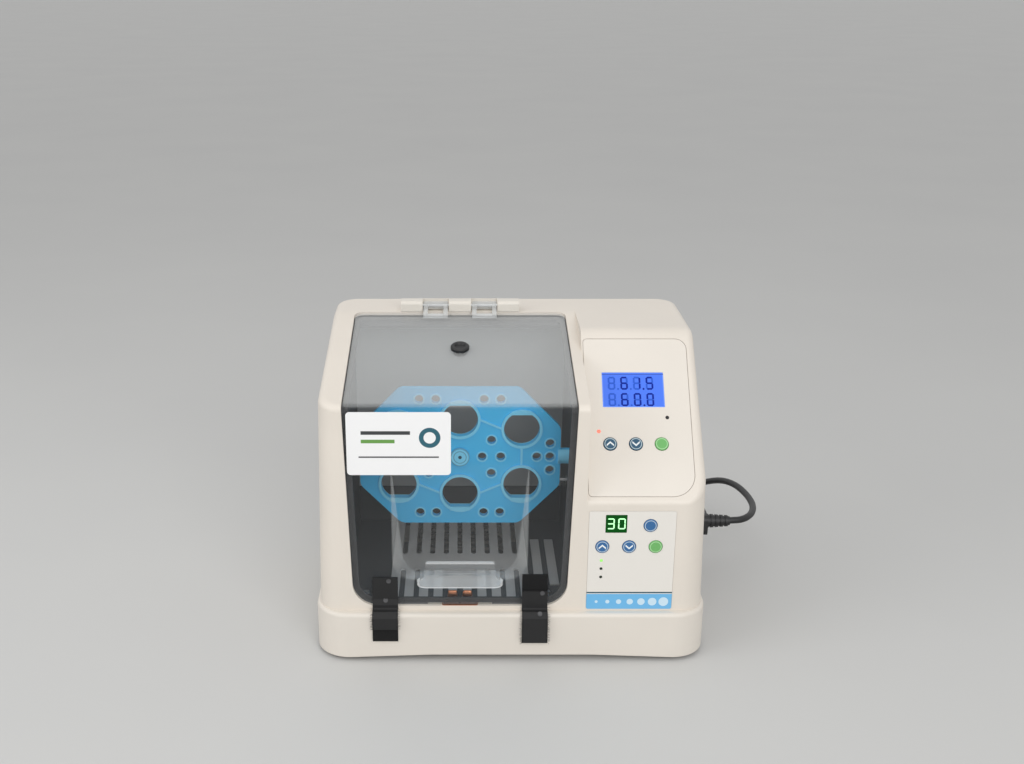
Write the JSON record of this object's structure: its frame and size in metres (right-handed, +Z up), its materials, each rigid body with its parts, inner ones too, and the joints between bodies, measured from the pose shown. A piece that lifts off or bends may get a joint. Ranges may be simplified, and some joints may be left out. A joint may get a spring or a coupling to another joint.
{
  "type": "incubated tube rotator",
  "caption": "Bench-top incubated tube rotator: cream casing, smoked hinged lid, blue end-over-end rotor, sloped temperature panel, speed panel and mains cord",
  "frame": {"origin": "centre of the footprint on the bench, under the feet, measured without the mains cord", "axes": "+X to the operator's right along the width, +Y from front to back, +Z up"},
  "size_m": [0.3962, 0.3265, 0.259],
  "materials": {
    "shell_plastic": "fine satin moulding",
    "foot_rubber": "matte",
    "sheet_steel": "zinc plated",
    "screw_steel": "bright",
    "black_plastic": "satin",
    "liner_plastic": "satin charcoal",
    "grille_plastic": "satin",
    "heater_steel": "dull",
    "bearing_steel": "machined",
    "pulley_aluminium": "turned",
    "belt_rubber": "matte",
    "panel_plastic": "satin film",
    "overlay_film": "printed film with a plain blue wave band",
    "lcd_face": "lit blue display with dark digits",
    "display_face": "dark green display with pale green digits",
    "circuit_board": "solder mask",
    "lamp_plastic": "tinted lens",
    "teal_key": "dark teal with a white chevron",
    "green_key": "green with a pale ring",
    "blue_key": "blue with a pale ring",
    "rotor_plastic": "satin sky blue",
    "smoked_acrylic": "lightly smoked, polished",
    "clear_acrylic": "clear, polished",
    "seal_rubber": "matte",
    "plug_rubber": "matte",
    "label_card": "blank white film",
    "strap_fabric": "hook-and-loop tape",
    "catch_plastic": "satin",
    "catch_copper": "bright copper spring",
    "rocker_plastic": "polished",
    "cord_rubber": "smooth cord jacket"
  },
  "bodies": {
    "machine": {"base_tray": "shell_plastic", "upper_casing": "shell_plastic", "hinge_block": "shell_plastic", "rubber_feet": "foot_rubber", "chassis_plate": "sheet_steel", "drive_bracket": "sheet_steel", "chassis_screws": "screw_steel", "floor_screws": "screw_steel", "hinge_pin": "screw_steel", "temperature_probe": "screw_steel", "liner_standoffs": "black_plastic", "fan_housing": "black_plastic", "idler_bush": "black_plastic", "inlet_socket": "black_plastic", "switch_body": "black_plastic", "mains_connector": "black_plastic", "mains_plug": "black_plastic", "lcd_module": "black_plastic", "chamber_liner": "liner_plastic", "floor_grille": "grille_plastic", "heater_element": "heater_steel", "drive_bearings": "bearing_steel", "drive_motor": "bearing_steel", "drive_belt": "belt_rubber", "temperature_panel": "panel_plastic", "speed_overlay": "overlay_film", "lcd_window": "lcd_face", "speed_display": "display_face", "temperature_board": "circuit_board", "speed_board": "circuit_board", "temperature_lamps": "lamp_plastic", "mode_lamps": "lamp_plastic", "lid_seal": "seal_rubber", "base_pads": "strap_fabric", "catch_plate": "catch_plastic", "catch_spring": "catch_copper", "mains_cord": "cord_rubber", "cord_coil": "cord_rubber"},
    "lid": {"lid": "smoked_acrylic", "lid_handle": "clear_acrylic", "lid_clips": "clear_acrylic", "asset_label": "label_card", "lid_pad": "strap_fabric", "closure_straps": "strap_fabric"},
    "vent": {"vent_plug": "plug_rubber"},
    "rotor": {"rotor_plate": "rotor_plastic", "idler_axle": "screw_steel", "drive_axle": "screw_steel", "drive_pulley": "pulley_aluminium"},
    "motor_shaft": {"motor_pulley": "pulley_aluminium"},
    "fan": {"fan_rotor": "black_plastic"},
    "rocker": {"power_rocker": "rocker_plastic"},
    "temp_up_key": {"temp_up_key": "teal_key"},
    "temp_down_key": {"temp_down_key": "teal_key"},
    "temp_start_key": {"temp_start_key": "green_key"},
    "mode_key": {"mode_key": "blue_key"},
    "speed_up_key": {"speed_up_key": "teal_key"},
    "speed_down_key": {"speed_down_key": "teal_key"},
    "speed_start_key": {"speed_start_key": "green_key"}
  },
  "joints": [
    {"name": "lid_hinge", "type": "hinge", "parent": "machine", "child": "lid", "pos_m": [-0.0415, 0.0605, 0.254], "axis": [-1, 0, 0], "range_deg": [0, 130]},
    {"name": "vent_pull", "type": "slide", "parent": "lid", "child": "vent", "axis": [0, -0.2187, 0.9758], "range_m": [0, 0.012]},
    {"name": "rotor_spin", "type": "hinge", "parent": "machine", "child": "rotor", "pos_m": [-0.0415, -0.016, 0.1446], "axis": [1, 0, 0], "continuous": true},
    {"name": "motor_spin", "type": "hinge", "parent": "machine", "child": "motor_shaft", "pos_m": [0.065, -0.016, 0.075], "axis": [1, 0, 0], "continuous": true},
    {"name": "fan_spin", "type": "hinge", "parent": "machine", "child": "fan", "pos_m": [-0.0415, 0.032, 0.028], "axis": [0, 0, 1], "continuous": true},
    {"name": "rocker_tilt", "type": "hinge", "parent": "machine", "child": "rocker", "pos_m": [0.15324, 0.015, 0.0535], "axis": [0, 1, 0], "range_deg": [-7, 7]},
    {"name": "temp_up_key_press", "type": "slide", "parent": "machine", "child": "temp_up_key", "axis": [0, 0.77, -0.638], "range_m": [0, 0.0005], "stiffness_N_per_m": 300},
    {"name": "temp_down_key_press", "type": "slide", "parent": "machine", "child": "temp_down_key", "axis": [0, 0.77, -0.638], "range_m": [0, 0.0005], "stiffness_N_per_m": 300},
    {"name": "temp_start_key_press", "type": "slide", "parent": "machine", "child": "temp_start_key", "axis": [0, 0.77, -0.638], "range_m": [0, 0.0005], "stiffness_N_per_m": 300},
    {"name": "mode_key_press", "type": "slide", "parent": "machine", "child": "mode_key", "axis": [0, 1, 0], "range_m": [0, 0.0005], "stiffness_N_per_m": 300},
    {"name": "speed_up_key_press", "type": "slide", "parent": "machine", "child": "speed_up_key", "axis": [0, 1, 0], "range_m": [0, 0.0005], "stiffness_N_per_m": 300},
    {"name": "speed_down_key_press", "type": "slide", "parent": "machine", "child": "speed_down_key", "axis": [0, 1, 0], "range_m": [0, 0.0005], "stiffness_N_per_m": 300},
    {"name": "speed_start_key_press", "type": "slide", "parent": "machine", "child": "speed_start_key", "axis": [0, 1, 0], "range_m": [0, 0.0005], "stiffness_N_per_m": 300}
  ],
  "couplings": [
    {"joint": "motor_spin", "follows": "rotor_spin", "ratio": 2.5}
  ]
}
